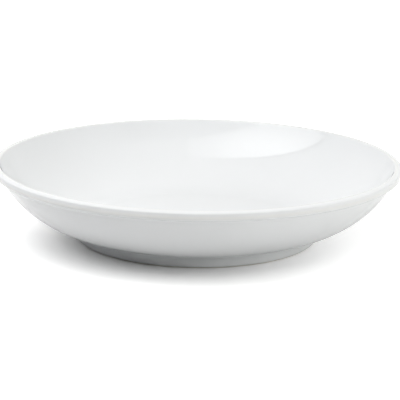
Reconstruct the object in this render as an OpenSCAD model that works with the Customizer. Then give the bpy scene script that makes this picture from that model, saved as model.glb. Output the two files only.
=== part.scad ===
// Deep coupe plate in glazed porcelain: a flat well, one curved wall, a rolled rim and a foot ring.
// Every piece is a turned section. In a section, x is the distance from the axis and y is the height
// above the table. Sizes are in millimetres.

/* [Plate] */
// Outer diameter over the rolled rim
plate_d = 240; // [226:1:262]
// Height of the rim above the table
plate_h = 45.4; // [40:0.2:52]
// Height of the eating surface above the table
well_h = 8.8; // [8.2:0.1:11]
// Radius of the wall's curve on the inside
curve_in_r = 58.4; // [50:0.2:70]
// Thickness of the wall, glaze included
wall_t = 2.8; // [2.2:0.1:3.8]
// Thickness of the floor inside the foot ring, glaze included
floor_t = 3.4; // [3:0.1:4.6]

/* [Rolled rim] */
// Radius of the gentle dome along the top of the rim
crown_r = 5; // [4:0.5:10]
// Radius of the tight edge between the top of the rim and its outer face
edge_r = 0.9; // [0.6:0.1:1.3]
// Radius of the round at the lower end of the rim's outer face
bead_r = 2.2; // [1.8:0.1:2.8]
// Depth of the centre of that round below the top of the rim
bead_drop = 3.4; // [3:0.1:3.8]
// How far the rolled rim stands out from the wall below it
bead_proud = 2.4; // [1.8:0.1:2.8]
// Radius of the hollow under the rolled rim
crease_r = 3; // [1:0.2:4]

/* [Foot ring] */
// Outer diameter of the foot ring
foot_d = 143.4; // [130:0.2:156]
// Width of the foot ring
foot_w = 5.2; // [4.4:0.1:7]
// Radius of the two edges that the plate stands on
foot_edge_r = 1.5; // [0.8:0.1:1.8]
// Radius of the hollow between the foot ring and the wall outside it
foot_root_r = 1; // [0.6:0.1:2]
// Radius of the hollow between the foot ring and the recess inside it
recess_root_r = 2; // [1:0.1:3]

/* [Glaze] */
// Thickness of the glaze
glaze_t = 0.3; // [0.2:0.05:0.5]
// Height above the table at which the glaze stops on the foot ring
glaze_stop = 1; // [0.8:0.1:1.4]

/* [Hidden] */
$fn = 180;

// How far a cut runs past what it cuts
overrun = 1;
// How far a round runs into the faces that it blends with, so that no sliver is left between them
hair = 0.002;

// The rim and the wall's two curves, which share a centre, so that the wall keeps its thickness
rim_r = plate_d / 2;
curve_out_r = curve_in_r + wall_t;
curve_mid_r = curve_in_r + wall_t / 2;
curve_h = well_h + curve_in_r;
bead_h = plate_h - bead_drop;
curve_c = [rim_r - bead_proud - sqrt(curve_out_r ^ 2 - (curve_h - bead_h) ^ 2), curve_h];

// The lip: a round that closes the wall, and the rolled rim beside it, which is domed on top
lip_h = plate_h - wall_t / 2 - hair;
lip_c = [curve_c.x + sqrt(curve_mid_r ^ 2 - (curve_h - lip_h) ^ 2), lip_h];
crown_c = [lip_c.x, plate_h - crown_r - hair];
edge_x = rim_r - edge_r - hair;
edge_c = [edge_x, crown_c.y + sqrt((crown_r - edge_r) ^ 2 - (edge_x - crown_c.x) ^ 2)];
bead_c = [rim_r - bead_r, bead_h];
crease_c = circles_meet(bead_c, bead_r + crease_r, curve_c, curve_out_r + crease_r);

// The foot ring and the recess inside it
foot_out_r = foot_d / 2;
foot_in_r = foot_out_r - foot_w;
foot_mid_r = foot_out_r - foot_w / 2;
recess_h = well_h - floor_t;
root_c = [foot_out_r + foot_root_r, underside_h(foot_out_r + foot_root_r, foot_root_r)];
recess_c = [foot_in_r - recess_root_r, recess_h - recess_root_r];

// Height of the flat face at which the foot ring is joined to the body
joint_h = recess_h + glaze_t;

// Where two circles cross, on the right-hand side of the line from the first centre to the second,
// with the first circle's centre and radius, then the second's
function circles_meet(a, a_r, b, b_r) =
    let (gap = norm(b - a), along = (b - a) / gap)
    let (reach = (gap ^ 2 + a_r ^ 2 - b_r ^ 2) / (2 * gap), aside = sqrt(a_r ^ 2 - reach ^ 2))
    a + reach * along + aside * [-along.y, along.x];

// Height of a line that follows the underside of the floor and wall, some way below it
function underside_h(r, below) =
    curve_h - sqrt((curve_out_r + below) ^ 2 - max(0, r - curve_c.x) ^ 2);

// Way from a point below the underside to the nearest point on it
function to_underside(p) = p.x > curve_c.x ? (curve_c - p) / norm(curve_c - p) : [0, 1];

// A disc in the section
module disc(centre, r) {
    translate(centre) circle(r = r);
}

// A box in the section, from its lower left corner to its upper right one
module block(low, high) {
    translate(low) square(high - low);
}

// A box in the section that ends above at the middle of the floor and of the wall
module column(low, right) {
    difference() {
        block(low, [right, plate_h]);
        block([0, well_h - wall_t / 2 - hair], [curve_c.x, plate_h + overrun]);
        disc(curve_c, curve_mid_r);
    }
}

// Each section below is drawn as far inside the glazed surface as its argument says

// The wall, from the edge of the well up to the middle of the lip
module wall_section(inset) {
    lip_way = (lip_c - curve_c) / norm(lip_c - curve_c);
    intersection() {
        difference() {
            disc(curve_c, curve_out_r - inset);
            disc(curve_c, curve_in_r + inset);
        }
        polygon([curve_c, curve_c - [0, plate_d], curve_c + [plate_d, -plate_d],
                 curve_c + plate_d * lip_way]);
    }
}

// The rolled rim, with the hollow under it
module rim_section(inset) {
    crease_way = (crease_c - curve_c) / norm(crease_c - curve_c);
    edge_way = (edge_c - crown_c) / norm(edge_c - crown_c);
    disc(lip_c, wall_t / 2 + hair - inset);
    intersection() {
        disc(crown_c, crown_r - inset);
        polygon([crown_c, crown_c + plate_d * edge_way, crown_c + [0, plate_d]]);
        block([lip_c.x, bead_h], [rim_r, plate_h + overrun]);
    }
    disc(edge_c, edge_r + hair - inset);
    block([lip_c.x, bead_h], [rim_r - hair - inset, edge_c.y]);
    disc(bead_c, bead_r - inset);
    difference() {
        polygon([lip_c, curve_c + curve_mid_r * crease_way, crease_c, bead_c]);
        disc(crease_c, crease_r + hair + inset);
    }
}

// The flat floor of the well
module floor_section(inset) {
    block([0, well_h - wall_t + inset], [curve_c.x, well_h - inset]);
    column([0, recess_h + inset], foot_mid_r);
}

// The foot ring, with the hollows on both sides of its root
module foot_section(inset) {
    edge_h = foot_edge_r;
    edge_inset = foot_edge_r + glaze_t;
    column([foot_in_r + inset, edge_h], foot_out_r - inset);
    column([foot_in_r + edge_inset, inset - glaze_t], foot_out_r - edge_inset);
    disc([foot_in_r + edge_inset, edge_h], edge_inset - inset);
    disc([foot_out_r - edge_inset, edge_h], edge_inset - inset);
    difference() {
        polygon([root_c, root_c + (foot_root_r + wall_t / 2) * to_underside(root_c),
                 [foot_mid_r, root_c.y]]);
        disc(root_c, foot_root_r + hair + inset);
    }
    difference() {
        column(recess_c, foot_mid_r);
        disc(recess_c, recess_root_r + hair + inset);
    }
}

// The whole plate
module plate_section(inset) {
    wall_section(inset);
    rim_section(inset);
    floor_section(inset);
    foot_section(inset);
}

// The space that holds the glaze under the plate: inside the foot ring, above its bare edge
module underside_zone() {
    column([0, glaze_stop], foot_mid_r);
}

// The formed clay: well, wall and rolled rim in one
module porcelain_body() {
    color("#efece4") rotate_extrude() intersection() {
        plate_section(glaze_t);
        block([0, joint_h], [rim_r, plate_h]);
    }
}

// The ring that the plate stands on, bare at its lowest edge
module foot_ring() {
    color("#e2dccf") rotate_extrude() intersection() {
        foot_section(glaze_t);
        block([0, 0], [rim_r, joint_h]);
    }
}

// The glaze on the inside, over the rim, down the outside and on the outside of the foot ring
module glaze_coat() {
    color("#f4f6f6") rotate_extrude() difference() {
        plate_section(0);
        plate_section(glaze_t);
        underside_zone();
        block([0, -glaze_t - overrun], [rim_r, glaze_stop]);
    }
}

// The glaze inside the foot ring, which the bare edge parts from the rest
module underside_glaze() {
    color("#eef1f2") rotate_extrude() difference() {
        intersection() {
            plate_section(0);
            underside_zone();
        }
        plate_section(glaze_t);
    }
}

porcelain_body();
foot_ring();
glaze_coat();
underside_glaze();
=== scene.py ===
# %% [markdown]
# A deep plate in glazed porcelain
#
# A coupe plate is almost nothing but one curve: a flat well, a wall that rises from it in a single arc,
# a thin rolled rim and a foot ring underneath. The clay is turned on a former, the foot is ground flat,
# and the whole plate is dipped in a white glaze that is wiped off the edge it stands on.
#
# A plain white shape has nowhere to hide. What makes it read as porcelain is the exact profile, the
# hollow under the rim, the glaze edge at the foot, the soft light, and the reflection of that light in
# the glaze. The cells below go in that order. All sizes are in metres.

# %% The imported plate, which stays where it is
import math

import bmesh
import bpy
from mathutils import Euler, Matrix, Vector


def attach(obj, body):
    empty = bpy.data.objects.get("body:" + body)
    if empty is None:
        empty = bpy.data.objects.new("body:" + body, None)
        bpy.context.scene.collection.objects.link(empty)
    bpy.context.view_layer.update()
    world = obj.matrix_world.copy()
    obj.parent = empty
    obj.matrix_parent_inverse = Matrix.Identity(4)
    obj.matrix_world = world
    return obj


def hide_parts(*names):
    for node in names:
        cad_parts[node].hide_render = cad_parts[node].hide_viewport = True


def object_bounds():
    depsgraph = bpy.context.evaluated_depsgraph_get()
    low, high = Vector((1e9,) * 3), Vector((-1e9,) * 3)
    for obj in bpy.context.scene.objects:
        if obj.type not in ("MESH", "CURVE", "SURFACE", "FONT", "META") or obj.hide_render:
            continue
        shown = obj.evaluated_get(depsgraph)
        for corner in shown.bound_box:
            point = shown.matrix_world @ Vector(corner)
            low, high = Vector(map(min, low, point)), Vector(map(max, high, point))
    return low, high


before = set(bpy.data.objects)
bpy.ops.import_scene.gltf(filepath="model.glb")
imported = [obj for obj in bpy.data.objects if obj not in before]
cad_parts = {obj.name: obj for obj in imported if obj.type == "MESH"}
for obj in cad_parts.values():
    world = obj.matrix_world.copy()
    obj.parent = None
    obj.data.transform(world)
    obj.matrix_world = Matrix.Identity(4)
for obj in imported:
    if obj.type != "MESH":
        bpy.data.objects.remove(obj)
cad_low, cad_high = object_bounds()
MM_PER_M = 1000


def in_mm(lengths):
    """Lengths in metres, as rounded millimetres."""
    return [round(MM_PER_M * length, 2) for length in lengths]


print("solids:", sorted(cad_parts))
print("box:", in_mm(cad_high - cad_low), "mm")

# %% [markdown]
# The camera
#
# The photograph was taken with a long lens from a low seat, about sixteen degrees above the table, so
# the far rim and the near rim are almost the same width. A long lens far away gives that flat
# perspective, where a short lens close by would blow up the near rim. The plate sits a little low in
# the picture and leans by less than a degree, so the camera first looks at the table under the plate,
# and is then turned a little.

# %% The camera
CAMERA_AWAY = 1.0
CAMERA_RISE = math.radians(15.71)
CAMERA_LENS_MM = 150.9
CAMERA_LEAN = math.radians(0.79)
CAMERA_TILT = math.radians(1.155)
CAMERA_PAN = math.radians(-0.126)

camera_data = bpy.data.cameras.new("camera")
camera_data.lens = CAMERA_LENS_MM
camera = bpy.data.objects.new("camera", camera_data)
bpy.context.scene.collection.objects.link(camera)
camera.location = Vector((0, -math.cos(CAMERA_RISE), math.sin(CAMERA_RISE))) * CAMERA_AWAY
look_at_plate = (-camera.location).to_track_quat("-Z", "Y").to_matrix()
lean = Euler((0, 0, CAMERA_LEAN)).to_matrix()
tilt = Euler((CAMERA_TILT, 0, 0)).to_matrix()
pan = Euler((0, CAMERA_PAN, 0)).to_matrix()
camera.rotation_euler = (look_at_plate @ lean @ tilt @ pan).to_euler()
bpy.context.scene.camera = camera
print("camera stands", round(camera.location.z, 3), "m above the table")

# %% [markdown]
# The profile
#
# A turned object is one outline, swept round an axis. So the work is in the outline, and it is written
# the way a mould maker draws it: centres and radii of arcs that meet without a corner. The same few
# sizes give two lines, the skin of the glaze and the skin of the clay 0.3 mm below it. Convex arcs
# shrink by that inset and hollow arcs grow by it, so the two lines stay parallel everywhere.

# %% Sizes of the section
RIM_R = cad_high.x
PLATE_H = cad_high.z
WELL_H = 0.0088
CURVE_IN_R = 0.0584
WALL_T = 0.0028
FLOOR_T = 0.0034
CROWN_R = 0.005
EDGE_R = 0.0009
BEAD_R = 0.0022
BEAD_DROP = 0.0034
BEAD_PROUD = 0.0024
CREASE_R = 0.003
FOOT_OUT_R = 0.0717
FOOT_W = 0.0052
FOOT_EDGE_R = 0.0015
FOOT_ROOT_R = 0.001
RECESS_ROOT_R = 0.002
GLAZE_T = 0.0003
GLAZE_STOP = 0.001

CURVE_OUT_R = CURVE_IN_R + WALL_T
CURVE_MID_R = CURVE_IN_R + WALL_T / 2
CURVE_H = WELL_H + CURVE_IN_R
BEAD_H = PLATE_H - BEAD_DROP
LIP_H = PLATE_H - WALL_T / 2
FOOT_IN_R = FOOT_OUT_R - FOOT_W
RECESS_H = WELL_H - FLOOR_T
FOOT_EDGE_INSET = FOOT_EDGE_R + GLAZE_T


def leg(long_side, other_leg):
    """The third side of a right-angled triangle."""
    return math.sqrt(long_side ** 2 - other_leg ** 2)


print("radius of the rim and of the foot:", in_mm([RIM_R, FOOT_OUT_R]), "mm")

# %% [markdown]
# Where the arcs sit
#
# The wall hangs from the rim: its centre is found from the outer edge inwards. The rolled rim is a
# gentle dome on top, a tight edge, a flat outer face and a round below it, and stands 2.4 mm out from
# the wall. The crease under it is a hollow that touches both, so its centre lies where two circles
# cross. The hollow at the foot's root touches the wall and the side of the foot.

# %% Centres of the arcs
CURVE_X = RIM_R - BEAD_PROUD - leg(CURVE_OUT_R, CURVE_H - BEAD_H)
CURVE = Vector((CURVE_X, CURVE_H))
LIP = Vector((CURVE_X + leg(CURVE_MID_R, CURVE_H - LIP_H), LIP_H))
CROWN = Vector((LIP.x, PLATE_H - CROWN_R))
EDGE_X = RIM_R - EDGE_R
EDGE = Vector((EDGE_X, CROWN.y + leg(CROWN_R - EDGE_R, EDGE_X - CROWN.x)))
BEAD = Vector((RIM_R - BEAD_R, BEAD_H))
ROOT_X = FOOT_OUT_R + FOOT_ROOT_R
ROOT = Vector((ROOT_X, CURVE_H - leg(CURVE_OUT_R + FOOT_ROOT_R, ROOT_X - CURVE_X)))
RECESS_ROOT = Vector((FOOT_IN_R - RECESS_ROOT_R, RECESS_H - RECESS_ROOT_R))
FOOT_EDGE_OUT = Vector((FOOT_OUT_R - FOOT_EDGE_INSET, FOOT_EDGE_R))
FOOT_EDGE_IN = Vector((FOOT_IN_R + FOOT_EDGE_INSET, FOOT_EDGE_R))


def circles_meet(first, first_r, second, second_r):
    """Where two circles cross, on the outer side of the line between their centres."""
    gap = (second - first).length
    along = (second - first) / gap
    reach = (gap ** 2 + first_r ** 2 - second_r ** 2) / (2 * gap)
    return first + along * reach + Vector((-along.y, along.x)) * leg(first_r, reach)


CREASE = circles_meet(BEAD, BEAD_R + CREASE_R, CURVE, CURVE_OUT_R + CREASE_R)
print("crease is centred at", in_mm(CREASE), "mm")

# %% [markdown]
# Drawing arcs
#
# Each arc is drawn from one direction to another round its centre. A vector between two centres gives
# the direction of the point where the two arcs touch, so no angle is typed in by hand. The spacing of
# the points follows the radius: a tight hollow needs them close together, and the big wall doesn't.

# %% Helpers that draw the outline
TURN = 2 * math.pi
DOWN = -TURN / 4
UP = TURN / 4
OUTWARD = 0
INWARD = TURN / 2


def heading(start, end):
    """The angle of the way from one point to another."""
    return math.atan2(end.y - start.y, end.x - start.x)


def arc(centre, radius, start, end, steps):
    """Points from one angle to another round a centre, both ends included."""
    angles = [start + (end - start) * i / steps for i in range(steps + 1)]
    return [centre + Vector((math.cos(a), math.sin(a))) * radius for a in angles]


def straight(start, end, steps):
    """Points between two ends, without the ends themselves."""
    return [start.lerp(end, i / steps) for i in range(1, steps)]


wall_foot = arc(CURVE, CURVE_IN_R, DOWN, OUTWARD, 1)[0]
print("the wall's arc leaves the well at", in_mm(wall_foot), "mm")

# %% [markdown]
# How fine the outline is
#
# A curve on a mesh is a row of short straight lines, and they must be too short to see. With a detail of
# 1 the points are close enough for a close look. The clay side of the glaze, which nobody sees, takes
# fewer.

# %% Numbers of steps
WALL_STEPS = 96
LIP_STEPS = 14
CROWN_STEPS = 12
RIM_EDGE_STEPS = 10
FACE_STEPS = 4
BEAD_STEPS = 14
CREASE_STEPS = 12
OUTER_STEPS = 84
ROOT_STEPS = 8
EDGE_STEPS = 6
WELL_STEPS = 20
FEWEST_STEPS = 2
CLAY_SIDE_DETAIL = 0.4


def steps_at(detail):
    """A function that thins a number of steps where the detail is low."""
    def steps(count):
        return max(FEWEST_STEPS, round(count * detail))

    return steps


print("the wall takes", WALL_STEPS, "steps, or", steps_at(CLAY_SIDE_DETAIL)(WALL_STEPS),
      "on its clay side")

# %% [markdown]
# The upper skin
#
# The upper skin runs from the middle of the well, up the wall, over the lip and the rim, through the
# crease, down the outside and the foot, and stops at the bare edge. Each arc ends where the next one
# begins, so its first point is left out.

# %% The outline of the upper skin
STOP_ANGLE = -math.asin((FOOT_EDGE_R - GLAZE_STOP) / FOOT_EDGE_INSET)


def upper_skin(inset=0, detail=1):
    """The outline from the middle of the well to the edge of the glaze, outside the foot ring."""
    steps = steps_at(detail)
    to_lip = heading(CURVE, LIP)
    to_crease = heading(CURVE, CREASE)
    to_root = heading(CURVE, ROOT)
    crown_end = heading(CROWN, EDGE)
    bead_end = heading(BEAD, CREASE)
    middle = Vector((0, WELL_H - inset))
    well_edge = Vector((CURVE.x, WELL_H - inset))
    line = [middle]
    line += straight(middle, well_edge, steps(WELL_STEPS))
    line += arc(CURVE, CURVE_IN_R + inset, DOWN, to_lip, steps(WALL_STEPS))
    line += arc(LIP, WALL_T / 2 - inset, to_lip + TURN / 2, UP, steps(LIP_STEPS))[1:]
    line += arc(CROWN, CROWN_R - inset, UP, crown_end, steps(CROWN_STEPS))[1:]
    line += arc(EDGE, EDGE_R - inset, crown_end, OUTWARD, steps(RIM_EDGE_STEPS))[1:]
    round_below = arc(BEAD, BEAD_R - inset, OUTWARD, bead_end, steps(BEAD_STEPS))
    line += straight(line[-1], round_below[0], steps(FACE_STEPS)) + round_below
    line += arc(CREASE, CREASE_R + inset, bead_end + TURN / 2, to_crease + TURN / 2,
                steps(CREASE_STEPS))[1:]
    line += arc(CURVE, CURVE_OUT_R - inset, to_crease, to_root, steps(OUTER_STEPS))[1:]
    line += arc(ROOT, FOOT_ROOT_R + inset, to_root + TURN / 2, INWARD, steps(ROOT_STEPS))[1:]
    line += arc(FOOT_EDGE_OUT, FOOT_EDGE_INSET - inset, OUTWARD, STOP_ANGLE, steps(EDGE_STEPS))
    return line


print("the upper skin has", len(upper_skin()), "points")

# %% [markdown]
# The underside skin
#
# Under the plate the glaze covers the recess and the inside of the foot ring. It stops as high above
# the table as the glaze outside, so that the ground edge between them is bare all round.

# %% The outline of the underside skin
def underside_skin(inset=0, detail=1):
    """The outline from the middle of the recess to the edge of the glaze, inside the foot ring."""
    steps = steps_at(detail)
    middle = Vector((0, RECESS_H + inset))
    recess_edge = Vector((RECESS_ROOT.x, RECESS_H + inset))
    line = [middle]
    line += straight(middle, recess_edge, steps(WELL_STEPS))
    line += arc(RECESS_ROOT, RECESS_ROOT_R + inset, UP, OUTWARD, steps(ROOT_STEPS))
    line += arc(FOOT_EDGE_IN, FOOT_EDGE_INSET - inset, INWARD, INWARD - STOP_ANGLE,
                steps(EDGE_STEPS))
    return line


print("the underside skin has", len(underside_skin()), "points")

# %% [markdown]
# From outline to solid
#
# Blender's Screw modifier can turn an outline, but it leaves a pinched pole with doubled points. A spin
# in bmesh with its doubles merged gives clean triangles at the pole, and one closed surface that a
# slicer accepts. 288 steps keep the rim's edge round to a hundredth of a millimetre.

# %% Turning an outline round the axis
SPIN_STEPS = 288
MERGE_WITHIN = 1e-7


def turned(name, loop, material, body="root"):
    """A closed outline, given in order, turned into a closed solid with smooth faces."""
    mesh = bpy.data.meshes.new(name)
    shape = bmesh.new()
    corners = [shape.verts.new((p.x, 0, p.y)) for p in loop]
    ring = list(zip(corners, corners[1:] + corners[:1]))
    edges = [shape.edges.new(pair) for pair in ring if max(v.co.x for v in pair) > MERGE_WITHIN]
    bmesh.ops.spin(shape, geom=corners + edges, cent=(0, 0, 0), axis=(0, 0, 1),
                   angle=TURN, steps=SPIN_STEPS, use_merge=True)
    bmesh.ops.remove_doubles(shape, verts=shape.verts, dist=MERGE_WITHIN)
    bmesh.ops.recalc_face_normals(shape, faces=shape.faces)
    for face in shape.faces:
        face.smooth = True
    open_edges = sum(not e.is_manifold for e in shape.edges)
    shape.to_mesh(mesh)
    shape.free()
    mesh.materials.append(material)
    piece = bpy.data.objects.new(name, mesh)
    bpy.context.scene.collection.objects.link(piece)
    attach(piece, body)
    print(name, "has", len(mesh.polygons), "faces and", open_edges, "open edges")
    return piece


print("one turn takes", SPIN_STEPS, "steps")

# %% [markdown]
# Small tools for shader nodes
#
# A node material is a little program. Three helpers keep the cells below short: one gives a socket its
# value or its link, one adds a node with its settings, and one does a sum.

# %% Helpers for single nodes
def fill(tree, socket, value):
    """Links a socket to another one, or gives it a plain value."""
    if isinstance(value, bpy.types.NodeSocket):
        tree.links.new(value, socket)
    else:
        socket.default_value = value


def add_node(tree, kind, settings=None, **sockets):
    """A node with its settings and with values or links for the sockets that are named."""
    node = tree.nodes.new(kind)
    for setting, value in (settings or {}).items():
        setattr(node, setting, value)
    for name, value in sockets.items():
        fill(tree, node.inputs[name.replace("_", " ")], value)
    return node


def sum_of(tree, operation, first, second=0.0):
    """One step of arithmetic."""
    node = add_node(tree, "ShaderNodeMath", {"operation": operation})
    for socket, value in zip(node.inputs, (first, second)):
        fill(tree, socket, value)
    return node.outputs["Value"]


print("made the helpers for single nodes")

# %% [markdown]
# Finishes in a tin
#
# A node group is a finish in a tin: it is mixed once, and each material takes as much of it as it
# needs. Its named sockets say what can be changed. Every pattern is placed by the piece's own
# coordinates, so it stays where it is on the plate when the plate is moved.

# %% Helpers for groups and materials
FLOAT = "NodeSocketFloat"
VECTOR = "NodeSocketVector"


def new_group(name, inputs, outputs):
    """An empty node group with named sockets, and its two ends."""
    group = bpy.data.node_groups.new(name, "ShaderNodeTree")
    for label, kind, value in inputs:
        socket = group.interface.new_socket(label, in_out="INPUT", socket_type=kind)
        if value is not None:
            socket.default_value = value
    for label, kind in outputs:
        group.interface.new_socket(label, in_out="OUTPUT", socket_type=kind)
    return group, group.nodes.new("NodeGroupInput"), group.nodes.new("NodeGroupOutput")


def use_group(tree, group, **sockets):
    """A copy of a group placed in a material."""
    return add_node(tree, "ShaderNodeGroup", {"node_tree": group}, **sockets)


def new_material(name):
    """A material with a Principled shader, and where it is on the piece."""
    material = bpy.data.materials.new(name)
    material.use_nodes = True
    tree = material.node_tree
    shader = tree.nodes["Principled BSDF"]
    place = tree.nodes.new("ShaderNodeTexCoord").outputs["Object"]
    return material, tree, shader, place


print("made the helpers for groups and materials")

# %% [markdown]
# The skin of a glaze
#
# Molten glaze flows, but it never flows quite flat. Under a lamp it shows a faint swell a centimetre or
# two across, and a much finer orange peel on top. A displacement would need millions of faces for waves
# of about a hundredth of a millimetre, so this is a height for a Bump node. The swell matters most: it
# is what bends the straight edge of a reflected window.

# %% A group for the swell and the orange peel
glaze_skin, skin_in, skin_out = new_group(
    "glaze skin",
    [("Place", VECTOR, None), ("Swell Size", FLOAT, 60.0), ("Peel Size", FLOAT, 900.0),
     ("Peel Share", FLOAT, 0.05)],
    [("Height", FLOAT)])
swell = add_node(glaze_skin, "ShaderNodeTexNoise", Vector=skin_in.outputs["Place"],
                 Scale=skin_in.outputs["Swell Size"], Detail=1.0, Roughness=0.4)
peel = add_node(glaze_skin, "ShaderNodeTexNoise", Vector=skin_in.outputs["Place"],
                Scale=skin_in.outputs["Peel Size"], Detail=2.0, Roughness=0.5)
peel_height = sum_of(glaze_skin, "MULTIPLY", peel.outputs["Fac"], skin_in.outputs["Peel Share"])
skin_height = sum_of(glaze_skin, "ADD", swell.outputs["Fac"], peel_height)
glaze_skin.links.new(skin_height, skin_out.inputs["Height"])
print("made the group", glaze_skin.name)

# %% [markdown]
# Pinholes and specks
#
# However clean the workshop, a fired plate has a few pinholes where a bubble broke, and a few grey
# specks of iron. A Voronoi texture puts one point in each cell of space. Its colour is random for each
# cell, so keeping only the cells whose value is above a limit makes the marks rare and scattered, and
# not a polka-dot pattern.

# %% A group for rare, scattered marks
rare_marks, marks_in, marks_out = new_group(
    "rare marks",
    [("Place", VECTOR, None), ("Cells", FLOAT, 120.0), ("Mark Size", FLOAT, 0.05),
     ("Keep Above", FLOAT, 0.97)],
    [("Mask", FLOAT)])
cells = add_node(rare_marks, "ShaderNodeTexVoronoi", Vector=marks_in.outputs["Place"],
                 Scale=marks_in.outputs["Cells"])
cell_value = add_node(rare_marks, "ShaderNodeSeparateColor", Color=cells.outputs["Color"])
kept = sum_of(rare_marks, "GREATER_THAN", cell_value.outputs["Red"], marks_in.outputs["Keep Above"])
mark_size = sum_of(rare_marks, "MULTIPLY", cell_value.outputs["Green"],
                   marks_in.outputs["Mark Size"])
mark = add_node(rare_marks, "ShaderNodeMapRange", {"interpolation_type": "SMOOTHSTEP"},
                Value=cells.outputs["Distance"], From_Min=mark_size, From_Max=0.0,
                To_Min=0.0, To_Max=1.0)
mark_mask = sum_of(rare_marks, "MULTIPLY", mark.outputs["Result"], kept)
rare_marks.links.new(mark_mask, marks_out.inputs["Mask"])
print("made the group", rare_marks.name)

# %% [markdown]
# Where glaze pools and where it thins
#
# Glaze runs off sharp edges and gathers in hollows. On white porcelain a thick layer looks a touch
# cooler and greyer, and a thin one warmer, because the clay shows through. On a turned plate each
# hollow is a ring, so the group measures how far a point is from a ring of a given radius and height,
# and fades with distance.

# %% A group that fades away from a ring
near_ring, ring_in, ring_out = new_group(
    "near a ring",
    [("Place", VECTOR, None), ("Ring Radius", FLOAT, 0.1), ("Ring Height", FLOAT, 0.0),
     ("Reach", FLOAT, 0.003)],
    [("Mask", FLOAT)])
ring_place = add_node(near_ring, "ShaderNodeSeparateXYZ", Vector=ring_in.outputs["Place"])
x_squared = sum_of(near_ring, "POWER", ring_place.outputs["X"], 2.0)
y_squared = sum_of(near_ring, "POWER", ring_place.outputs["Y"], 2.0)
from_axis = sum_of(near_ring, "SQRT", sum_of(near_ring, "ADD", x_squared, y_squared))
aside = sum_of(near_ring, "SUBTRACT", from_axis, ring_in.outputs["Ring Radius"])
above = sum_of(near_ring, "SUBTRACT", ring_place.outputs["Z"], ring_in.outputs["Ring Height"])
aside_squared = sum_of(near_ring, "POWER", aside, 2.0)
above_squared = sum_of(near_ring, "POWER", above, 2.0)
ring_distance = sum_of(near_ring, "SQRT", sum_of(near_ring, "ADD", aside_squared, above_squared))
ring_fade = add_node(near_ring, "ShaderNodeMapRange", {"interpolation_type": "SMOOTHERSTEP"},
                     Value=ring_distance, From_Min=ring_in.outputs["Reach"], From_Max=0.0,
                     To_Min=0.0, To_Max=1.0)
near_ring.links.new(ring_fade.outputs["Result"], ring_out.inputs["Mask"])
print("made the group", near_ring.name)

# %% [markdown]
# Fired clay
#
# Bare porcelain is dense, with a dry, even grain like fine sugar. It shows only on the standing edge,
# where the potter wiped the glaze away and the factory ground the foot. The grain is a small cloud for
# the colour and a fine one for the height. Turned work also keeps faint rings from the tool.

# %% A group for the grain of fired clay
TOOL_RING_SHARE = 0.25

clay_grain, grain_in, grain_out = new_group(
    "clay grain",
    [("Place", VECTOR, None), ("Cloud Size", FLOAT, 90.0), ("Grain Size", FLOAT, 2500.0),
     ("Rings", FLOAT, 900.0)],
    [("Cloud", FLOAT), ("Height", FLOAT)])
cloud = add_node(clay_grain, "ShaderNodeTexNoise", Vector=grain_in.outputs["Place"],
                 Scale=grain_in.outputs["Cloud Size"], Detail=3.0, Roughness=0.6)
grain = add_node(clay_grain, "ShaderNodeTexNoise", Vector=grain_in.outputs["Place"],
                 Scale=grain_in.outputs["Grain Size"], Detail=3.0, Roughness=0.7)
tool_rings = add_node(clay_grain, "ShaderNodeTexWave",
                      {"wave_type": "RINGS", "rings_direction": "Z"},
                      Vector=grain_in.outputs["Place"], Scale=grain_in.outputs["Rings"],
                      Distortion=0.4, Detail=1.0)
ring_height = sum_of(clay_grain, "MULTIPLY", tool_rings.outputs["Fac"], TOOL_RING_SHARE)
grain_height = sum_of(clay_grain, "ADD", grain.outputs["Fac"], ring_height)
clay_grain.links.new(cloud.outputs["Fac"], grain_out.inputs["Cloud"])
clay_grain.links.new(grain_height, grain_out.inputs["Height"])
print("made the group", clay_grain.name)

# %% [markdown]
# The white glaze
#
# Glaze is glass, so its gloss comes from the shader's own index of refraction and a very low roughness,
# and it needs no metal and no extra coat. Under the glass the clay scatters nearly all the light, which
# the base colour says. Pure white would look like chalk: this one is a little under white and a touch
# cool. The Mix node has inputs for every kind of value, so its colours are found by their numbers.

# %% The tones of the glaze
GLAZE_WHITE = (0.815, 0.825, 0.838, 1.0)
GLAZE_DEEP = (0.765, 0.785, 0.792, 1.0)
GLAZE_THIN = (0.797, 0.799, 0.795, 1.0)
SPECK_GREY = (0.36, 0.34, 0.31, 1.0)
DRIFT_SIZE = 14.0
DRIFT_SHARE = 0.35
SPECK_CELLS = 110.0
SPECK_SIZE = 0.035
SPECKS_ABOVE = 0.975
MIX_FIRST = 6
MIX_SECOND = 7
MIX_RESULT = 2


def mix_colours(tree, share, first, second):
    """A blend of two colours, from the first at 0 to the second at 1."""
    node = add_node(tree, "ShaderNodeMix", {"data_type": "RGBA"}, Factor=share)
    fill(tree, node.inputs[MIX_FIRST], first)
    fill(tree, node.inputs[MIX_SECOND], second)
    return node.outputs[MIX_RESULT]


def tone_near_rings(tree, place, colour, rings, tone):
    """A colour that turns into a tone near some rings, each given by radius, height and reach."""
    for radius, height, reach in rings:
        ring = use_group(tree, near_ring, Place=place, Ring_Radius=radius, Ring_Height=height,
                         Reach=reach)
        colour = mix_colours(tree, ring.outputs["Mask"], colour, tone)
    return colour


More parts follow.
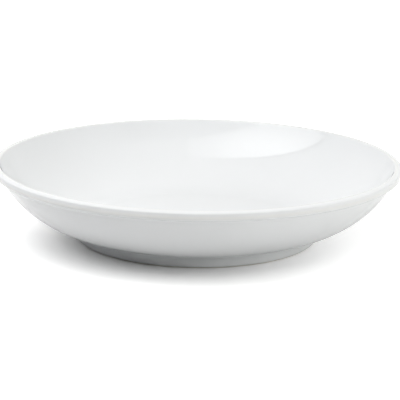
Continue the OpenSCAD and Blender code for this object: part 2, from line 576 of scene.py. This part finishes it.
def glaze_colour(tree, place, drift, pools, thin_places):
    """White that drifts a little, is deeper in hollows and thinner on edges, with a few specks."""
    drift_share = sum_of(tree, "MULTIPLY", drift, DRIFT_SHARE)
    colour = mix_colours(tree, drift_share, GLAZE_WHITE, GLAZE_DEEP)
    colour = tone_near_rings(tree, place, colour, pools, GLAZE_DEEP)
    colour = tone_near_rings(tree, place, colour, thin_places, GLAZE_THIN)
    specks = use_group(tree, rare_marks, Place=place, Cells=SPECK_CELLS, Mark_Size=SPECK_SIZE,
                       Keep_Above=SPECKS_ABOVE)
    return mix_colours(tree, specks.outputs["Mask"], colour, SPECK_GREY)


print("the glaze is white at", GLAZE_WHITE[:3])

# %% [markdown]
# The glass of the glaze
#
# The height of the skin, less a few pinholes, bends the light by a Bump node. The swell is only twelve
# thousandths of a millimetre deep: more would make the plate look dented. The roughness is nearly that
# of a mirror and drifts a little with the colour, because a kiln never fires a plate quite evenly.

# %% The material of the glaze, inside and out
GLAZE_GLOSS = 0.018
GLOSS_DRIFT = 0.4
GLAZE_INDEX = 1.52
SKIN_DEPTH = 0.000012
SWELL_SIZE = 55.0
PEEL_SIZE = 700.0
PEEL_SHARE = 0.03
PIT_CELLS = 170.0
PIT_SIZE = 0.06
PITS_ABOVE = 0.985
PIT_SHARE = 0.4


def glaze_height(tree, place):
    """The height of the glaze's skin, with a few pinholes."""
    skin = use_group(tree, glaze_skin, Place=place, Swell_Size=SWELL_SIZE, Peel_Size=PEEL_SIZE,
                     Peel_Share=PEEL_SHARE)
    pits = use_group(tree, rare_marks, Place=place, Cells=PIT_CELLS, Mark_Size=PIT_SIZE,
                     Keep_Above=PITS_ABOVE)
    pit_depth = sum_of(tree, "MULTIPLY", pits.outputs["Mask"], PIT_SHARE)
    return sum_of(tree, "SUBTRACT", skin.outputs["Height"], pit_depth)


def glaze_material(name, pools, thin_places):
    """A white glaze with its own rings where it pools and where it is thin."""
    material, tree, shader, place = new_material(name)
    drift = add_node(tree, "ShaderNodeTexNoise", Vector=place, Scale=DRIFT_SIZE, Detail=2.0)
    colour = glaze_colour(tree, place, drift.outputs["Fac"], pools, thin_places)
    tree.links.new(colour, shader.inputs["Base Color"])
    bump = add_node(tree, "ShaderNodeBump", Strength=1.0, Distance=SKIN_DEPTH,
                    Height=glaze_height(tree, place))
    tree.links.new(bump.outputs["Normal"], shader.inputs["Normal"])
    gloss = add_node(tree, "ShaderNodeMapRange", Value=drift.outputs["Fac"], From_Min=0.0,
                     From_Max=1.0, To_Min=GLAZE_GLOSS * (1 - GLOSS_DRIFT),
                     To_Max=GLAZE_GLOSS * (1 + GLOSS_DRIFT))
    tree.links.new(gloss.outputs["Result"], shader.inputs["Roughness"])
    shader.inputs["IOR"].default_value = GLAZE_INDEX
    return material


print("the glaze has an index of", GLAZE_INDEX, "and a roughness of about", GLAZE_GLOSS)

# %% [markdown]
# The rings of this plate
#
# The glaze on the outside pools in the crease under the rim, in the hollow at the foot's root and at
# the line where it stops. It is thin on the lip and on the rim's outer face. Under the plate it pools
# in the corner of the recess. Each ring takes its place from the profile, and its reach is how far the
# tone spreads.

# %% The two glazes
CREASE_POOL = 0.0045
ROOT_POOL = 0.0035
RECESS_POOL = 0.004
STOP_POOL = 0.0012
LIP_THIN = 0.0022
FACE_THIN = 0.0016
FOOT_THIN = 0.001

white_glaze = glaze_material(
    "white_glaze",
    pools=[(CREASE.x, CREASE.y, CREASE_POOL), (ROOT.x, ROOT.y, ROOT_POOL),
           (FOOT_OUT_R, GLAZE_STOP, STOP_POOL)],
    thin_places=[(LIP.x, PLATE_H, LIP_THIN), (RIM_R, BEAD_H, FACE_THIN)])
under_glaze = glaze_material(
    "underside_glaze",
    pools=[(FOOT_IN_R, RECESS_H, RECESS_POOL), (FOOT_IN_R, GLAZE_STOP, STOP_POOL)],
    thin_places=[(FOOT_IN_R, FOOT_EDGE_R, FOOT_THIN)])
print("made", white_glaze.name, "and", under_glaze.name)

# %% [markdown]
# The bare clay
#
# Two finishes share the grain. The body under the glaze is plain fired clay. The foot ring is the same
# clay, ground smooth and a little grey from the shelves it has stood on, so its colour has more cloud
# in it and its surface is less rough.

# %% The materials of the clay
FIRED_LIGHT = (0.84, 0.82, 0.78, 1.0)
FIRED_DARK = (0.78, 0.75, 0.7, 1.0)
GROUND_LIGHT = (0.82, 0.79, 0.73, 1.0)
GROUND_DARK = (0.68, 0.65, 0.6, 1.0)
CLOUD_LOW = 0.3
CLOUD_HIGH = 0.7
SMOOTHER_SHARE = 0.9


def clay_material(name, light, dark, roughness, depth, rings):
    """Fired clay between a light and a dark tone, with tool rings and a grain of a given depth."""
    material, tree, shader, place = new_material(name)
    clay = use_group(tree, clay_grain, Place=place, Rings=rings)
    colour = mix_colours(tree, clay.outputs["Cloud"], light, dark)
    tree.links.new(colour, shader.inputs["Base Color"])
    bump = add_node(tree, "ShaderNodeBump", Strength=1.0, Distance=depth,
                    Height=clay.outputs["Height"])
    tree.links.new(bump.outputs["Normal"], shader.inputs["Normal"])
    rough = add_node(tree, "ShaderNodeMapRange", Value=clay.outputs["Cloud"], From_Min=CLOUD_LOW,
                     From_Max=CLOUD_HIGH, To_Min=roughness * SMOOTHER_SHARE, To_Max=roughness)
    tree.links.new(rough.outputs["Result"], shader.inputs["Roughness"])
    return material


fired_clay = clay_material("fired_clay", FIRED_LIGHT, FIRED_DARK, roughness=0.8, depth=0.00004,
                           rings=700.0)
ground_foot = clay_material("ground_foot", GROUND_LIGHT, GROUND_DARK, roughness=0.62, depth=0.00003,
                            rings=1400.0)
print("made", fired_clay.name, "and", ground_foot.name)

# %% [markdown]
# The glaze as a piece
#
# On the real plate the glaze is a layer of its own, fired onto the clay. It is modelled as one, 0.3 mm
# thick: the upper skin out, a small round where the glaze stops above the bare foot, and the clay's
# line back. The round is real geometry, because a cut edge there would look like paper.

# %% The glaze coat and the glaze under the plate
STOP_STEPS = 5


def glaze_shell(skin):
    """The closed outline of a layer of glaze, from its outer skin, round its edge and back."""
    outer = skin()
    inner = skin(GLAZE_T, CLAY_SIDE_DETAIL)
    middle = (outer[-1] + inner[-1]) / 2
    half = (outer[-1] - inner[-1]).length / 2
    start = heading(middle, outer[-1])
    side = 1 if outer[-1].x < inner[-1].x else -1
    edge = arc(middle, half, start, start + side * TURN / 2, STOP_STEPS)
    return outer + edge[1:-1] + inner[::-1]


glaze_coat = turned("glaze_coat_piece", glaze_shell(upper_skin), white_glaze)
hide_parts("glaze_coat")
underside = turned("underside_glaze_piece", glaze_shell(underside_skin), under_glaze)
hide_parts("underside_glaze")

# %% [markdown]
# The foot ring
#
# The foot is what the plate stands on. It is a separate ring of clay that joins the body at a flat
# face, and its lowest 1 mm is bare. The section is a rounded bar with a ground flat, so it is drawn the
# same way, from the same centres, and shares every edge with the glaze that covers its sides.

# %% The foot ring
JOINT_H = RECESS_H + GLAZE_T
ROOT_TOP_STEPS = 2


def foot_outline():
    """The bare clay of the ring, from the inner top corner down and up to the outer one."""
    rise = math.asin((JOINT_H - RECESS_ROOT.y) / (RECESS_ROOT_R + GLAZE_T))
    fall = math.asin((JOINT_H - ROOT.y) / (FOOT_ROOT_R + GLAZE_T))
    line = arc(RECESS_ROOT, RECESS_ROOT_R + GLAZE_T, rise, OUTWARD, ROOT_STEPS)
    line += arc(FOOT_EDGE_IN, FOOT_EDGE_R, INWARD, INWARD - DOWN, EDGE_STEPS)
    line += arc(FOOT_EDGE_OUT, FOOT_EDGE_R, DOWN, OUTWARD, EDGE_STEPS)
    line += arc(ROOT, FOOT_ROOT_R + GLAZE_T, INWARD, INWARD - fall, ROOT_TOP_STEPS)
    return line


foot = turned("foot_ring_piece", foot_outline(), ground_foot)
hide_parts("foot_ring")

# %% [markdown]
# The clay body
#
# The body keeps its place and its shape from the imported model. It lies wholly under the glaze, so it
# only needs its finish, for anyone who takes the plate apart.

# %% The clay body's finish
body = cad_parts["porcelain_body"]
body.data.materials.clear()
body.data.materials.append(fired_clay)
print("porcelain_body carries", body.data.materials[0].name)

# %% [markdown]
# The table
#
# The plate stands on a white sweep that is lit until it melts into the background, but still takes a
# soft shadow. The floor is a pale matt surface for all light that bounces. Only where the camera or a
# reflection looks at it does a glow lift it to white, and the glow grows with distance, so that the far
# floor is pure white and the shadow at the foot stays deep. It is one flat sheet, and so are the cards
# of light further down.

# %% The floor
FLOOR_W = 8.0


def flat_sheet(name, width, length):
    """A flat rectangle round the origin that faces up."""
    mesh = bpy.data.meshes.new(name)
    x, y = width / 2, length / 2
    mesh.from_pydata([(-x, -y, 0), (x, -y, 0), (x, y, 0), (-x, y, 0)], [], [(0, 1, 2, 3)])
    sheet = bpy.data.objects.new(name, mesh)
    bpy.context.scene.collection.objects.link(sheet)
    return sheet


floor = flat_sheet("floor", FLOOR_W, FLOOR_W)
print("the floor is", FLOOR_W, "m wide")

# %% [markdown]
# Three tools for studio surfaces
#
# The Light Path node knows what kind of ray has arrived. A surface can so look white and still send no
# more light to the plate. The second tool is a level that changes with the distance from a point: it
# fades the floor's glow, and further down the brightness of a cloth round its bulb. The third is a
# material that starts empty, because a thing that only glows needs no Principled shader.

# %% Helpers for the studio
def seen_directly(tree, mirrored=1.0):
    """1 for rays from the camera, mirrored for rays in a mirror or glass, 0 for light that bounces."""
    path = tree.nodes.new("ShaderNodeLightPath")
    either = sum_of(tree, "MAXIMUM", path.outputs["Is Glossy Ray"],
                    path.outputs["Is Transmission Ray"])
    share = sum_of(tree, "MULTIPLY", either, mirrored)
    return sum_of(tree, "MAXIMUM", path.outputs["Is Camera Ray"], share)


def by_distance(tree, point, near, far, near_level, far_level):
    """A level that changes smoothly with the distance from a point of the object."""
    place = tree.nodes.new("ShaderNodeTexCoord").outputs["Object"]
    away = add_node(tree, "ShaderNodeVectorMath", {"operation": "DISTANCE"})
    fill(tree, away.inputs[0], place)
    fill(tree, away.inputs[1], point)
    level = add_node(tree, "ShaderNodeMapRange", {"interpolation_type": "SMOOTHSTEP"},
                     Value=away.outputs["Value"], From_Min=near, From_Max=far,
                     To_Min=near_level, To_Max=far_level)
    return level.outputs["Result"]


def empty_material(name):
    """A material with nothing in it but its output."""
    material = bpy.data.materials.new(name)
    material.use_nodes = True
    tree = material.node_tree
    tree.nodes.clear()
    return material, tree, tree.nodes.new("ShaderNodeOutputMaterial")


print("made the helpers for the studio")

# %% [markdown]
# The glow of the floor
#
# In the photograph the floor is pure white a hand's width from the plate. The shadow is a soft patch that
# lies a little to the left of the plate and in front of it. So the glow has two parts: one that starts
# round the middle of the shadow, and a weaker one that takes the floor the rest of the way to white. The
# glaze mirrors only part of the glow, because the steep outside of the plate would look too pale at both
# ends. From below the floor is clear, so that the underside of the plate can be looked at too.

# %% The white sweep's material
WHITE = (1.0, 1.0, 1.0, 1.0)
TABLE_MIDDLE = Vector((0, 0, 0))
FLOOR_GREY = (0.8, 0.8, 0.8, 1.0)
SHADOW_CENTRE = Vector((-0.0136, -0.0194, 0))
SHADOW_FROM = 0.037
SHADOW_TO = 0.1095
SHADOW_GLOW = 0.611
FAR_FROM = 0.12
FAR_TO = 0.45
FAR_GLOW = 0.42
MIRRORED_GLOW = 0.6

floor_material, floor_tree, floor_end = empty_material("white_sweep")
near_glow = by_distance(floor_tree, SHADOW_CENTRE, SHADOW_FROM, SHADOW_TO, 0.0, SHADOW_GLOW)
far_glow = by_distance(floor_tree, TABLE_MIDDLE, FAR_FROM, FAR_TO, 0.0, FAR_GLOW)
both_glows = sum_of(floor_tree, "ADD", near_glow, far_glow)
glow_strength = sum_of(floor_tree, "MULTIPLY", both_glows,
                       seen_directly(floor_tree, MIRRORED_GLOW))
floor_glow = add_node(floor_tree, "ShaderNodeEmission", Color=WHITE, Strength=glow_strength)
floor_matt = add_node(floor_tree, "ShaderNodeBsdfDiffuse", Color=FLOOR_GREY)
floor_both = floor_tree.nodes.new("ShaderNodeAddShader")
floor_tree.links.new(floor_matt.outputs["BSDF"], floor_both.inputs[0])
floor_tree.links.new(floor_glow.outputs["Emission"], floor_both.inputs[1])
floor_clear = floor_tree.nodes.new("ShaderNodeBsdfTransparent")
facing = floor_tree.nodes.new("ShaderNodeNewGeometry")
floor_side = add_node(floor_tree, "ShaderNodeMixShader", Fac=facing.outputs["Backfacing"])
floor_tree.links.new(floor_both.outputs["Shader"], floor_side.inputs[1])
floor_tree.links.new(floor_clear.outputs["BSDF"], floor_side.inputs[2])
floor_tree.links.new(floor_side.outputs["Shader"], floor_end.inputs["Surface"])
floor.data.materials.append(floor_material)
print("made", floor_material.name)

# %% [markdown]
# The white surroundings
#
# The background is white to the camera and in the glaze. For light that bounces it is nearly black, so
# that the cards below do all the lighting and each of them can be judged by itself.

# %% The surroundings
AMBIENT = 0.02

world = bpy.data.worlds.new("studio")
bpy.context.scene.world = world
world.use_nodes = True
world_tree = world.node_tree
background = world_tree.nodes["Background"]
background.inputs["Color"].default_value = WHITE
world_level = add_node(world_tree, "ShaderNodeMapRange", Value=seen_directly(world_tree),
                       From_Min=0.0, From_Max=1.0, To_Min=AMBIENT, To_Max=1.0)
world_tree.links.new(world_level.outputs["Result"], background.inputs["Strength"])
print("the studio's own light is", AMBIENT, "of white")

# %% [markdown]
# Cards of light
#
# A softbox, a reflector and a dark flag are all flat boards. A card of glowing mesh stands for each of
# them better than a lamp does, because the glaze can show its shape. Most cards face the plate, and
# their directions are given in degrees, with 0 on the camera's side.

# %% Helpers for cards
def card(name, centre, lean, width, length, material):
    """A flat card that belongs to the studio and stays out of the picture."""
    made = flat_sheet(name, width, length)
    made.data.materials.append(material)
    made.location = centre
    made.rotation_euler = lean
    made.visible_camera = False
    return made


def card_facing(name, target, azimuth, elevation, away, width, length, material):
    """A card in a given direction from a point, facing that point."""
    turn = math.radians(azimuth)
    rise = math.radians(elevation)
    flat = math.cos(rise)
    way = Vector((math.sin(turn) * flat, -math.cos(turn) * flat, math.sin(rise)))
    lean = way.to_track_quat("Z", "Y").to_euler()
    return card(name, target + way * away, lean, width, length, material)


def glowing(name, strength, tint=WHITE):
    """The material of a cloth that glows evenly."""
    material, tree, end = empty_material(name)
    light = add_node(tree, "ShaderNodeEmission", Color=tint, Strength=strength)
    tree.links.new(light.outputs["Emission"], end.inputs["Surface"])
    return material


def only_mirrored(made):
    """A card that shows in the glaze, and neither lights nor shades anything."""
    made.visible_diffuse = False
    made.visible_shadow = False


print("made the helpers for cards")

# %% [markdown]
# The softbox
#
# The photograph tells where its main light stood: a bright four-sided patch with one straight lower
# edge lies on the right of the bowl's back wall. Tracing the patch back through the glaze gives a wide
# softbox, high on the left and leaning over the plate. Its light and its mirror image are two cards in
# almost the same place. The plate is already nearly white, so the image has room for only a few more
# steps before it clips: the lit cloth can be as strong as the plate needs, and the mirrored one stays
# as faint as it looks.

# %% The softbox's light
SOFTBOX_W = 0.93
SOFTBOX_L = 0.49
SOFTBOX_CENTRE = Vector((-0.272, -0.187, 0.664))
SOFTBOX_LEAN = Euler((math.radians(10.2), math.radians(-42.2), math.radians(-3.7)))
SOFTBOX_STRENGTH = 3.38

softbox = card("softbox", SOFTBOX_CENTRE, SOFTBOX_LEAN, SOFTBOX_W, SOFTBOX_L,
               glowing("softbox_light", SOFTBOX_STRENGTH))
softbox.visible_glossy = False
print("the softbox stands", round(SOFTBOX_CENTRE.length, 2), "m from the plate")

# %% [markdown]
# The softbox in the glaze
#
# The mirrored cloth is brightest in front of its bulb, which gives the patch its hot spot. A black
# frame runs round the cloth, as on a real softbox, and draws the thin darker line round the patch. It is
# wider at one end and on one side, and on that side the cloth reaches a little further too.

# %% The mirrored cloth and its frame
CLOTH_LEVEL = 1.6
HOT_SPOT = Vector((-0.07, 0.1, 0))
HOT_SPOT_REACH = 0.47
HOT_SPOT_LIFT = 2.2
CLOTH_MORE = 0.02
FRAME_W = 0.026
FRAME_WIDE = 0.045
FRAME_BEHIND = 0.004

cloth_material = glowing("softbox_cloth", CLOTH_LEVEL)
cloth_tree = cloth_material.node_tree
cloth_light = by_distance(cloth_tree, HOT_SPOT, 0.0, HOT_SPOT_REACH, CLOTH_LEVEL * HOT_SPOT_LIFT,
                          CLOTH_LEVEL)
fill(cloth_tree, cloth_tree.nodes["Emission"].inputs["Strength"], cloth_light)
softbox_turn = SOFTBOX_LEAN.to_matrix()
cloth_centre = SOFTBOX_CENTRE + softbox_turn @ Vector((0, -CLOTH_MORE / 2, 0))
cloth_l = SOFTBOX_L + CLOTH_MORE
softbox_cloth = card("softbox_cloth", cloth_centre, SOFTBOX_LEAN, SOFTBOX_W, cloth_l,
                     cloth_material)
only_mirrored(softbox_cloth)
frame_more = FRAME_WIDE - FRAME_W
frame_shift = Vector((frame_more / 2, -frame_more / 2, FRAME_BEHIND))
softbox_frame = card("softbox_frame", cloth_centre + softbox_turn @ frame_shift, SOFTBOX_LEAN,
                     SOFTBOX_W + FRAME_W + FRAME_WIDE, cloth_l + FRAME_W + FRAME_WIDE,
                     glowing("softbox_frame", 0.0))
only_mirrored(softbox_frame)
print("the cloth's frame is", in_mm([FRAME_W, FRAME_WIDE]), "mm wide")

# %% [markdown]
# The dark room
#
# Above the camera a real studio is darker, and the glaze shows that too: the bowl's back wall is a shade
# darker above and to the left of the softbox's patch. A grey card up there gives the same shade.

# %% The dark room above the camera
ROOM_TURN = 18
ROOM_RISE = 46
ROOM_AWAY = 1.3
ROOM_W = 1.7
ROOM_L = 0.78
ROOM_LEVEL = 0.45

dark_room = card_facing("dark_room", TABLE_MIDDLE, ROOM_TURN, ROOM_RISE, ROOM_AWAY, ROOM_W, ROOM_L,
                        glowing("dark_room", ROOM_LEVEL))
only_mirrored(dark_room)
print("the dark card hangs", round(dark_room.location.z, 2), "m above the table")

# %% [markdown]
# The fill cards
#
# The softbox alone would leave the outside of the wall dark. In the photograph the outside gets lighter
# to the right and the floor's shadow lies to the left, so a low light stood close by on the right. A
# card above the front lights the rim's face. Three more stand behind, low on both sides and high in the
# middle, and keep the far side and the two ends of the bowl bright. The glaze shows none of them, so
# they light the plate without being mirrored.

# %% The fill cards
PLATE_MIDDLE = Vector((0, 0, 0.02))
FILL_TINT = (1.0, 1.0, 0.97, 1.0)


def fill_card(name, azimuth, elevation, away, width, length, strength):
    """A glowing card that lights the plate and isn't mirrored in it."""
    made = card_facing(name, PLATE_MIDDLE, azimuth, elevation, away, width, length,
                       glowing(name, strength, FILL_TINT))
    made.visible_glossy = False
    print(name, "shines with", strength, "of white")


fill_card("right_card", azimuth=60, elevation=12, away=0.65, width=0.5, length=0.24, strength=3.71)
fill_card("front_card", azimuth=20, elevation=55, away=0.9, width=0.7, length=0.5, strength=2.24)
fill_card("back_card", azimuth=150, elevation=18, away=0.85, width=0.9, length=0.4, strength=1.5)
fill_card("left_back_card", azimuth=210, elevation=18, away=0.85, width=0.9, length=0.4,
          strength=0.85)
fill_card("top_card", azimuth=180, elevation=60, away=0.9, width=0.9, length=0.6, strength=1.08)

# %% [markdown]
# The picture's settings
#
# Standard keeps a colour on the screen as it is written in the material. Nothing else is changed.

bpy.context.scene.view_settings.view_transform = "Standard"
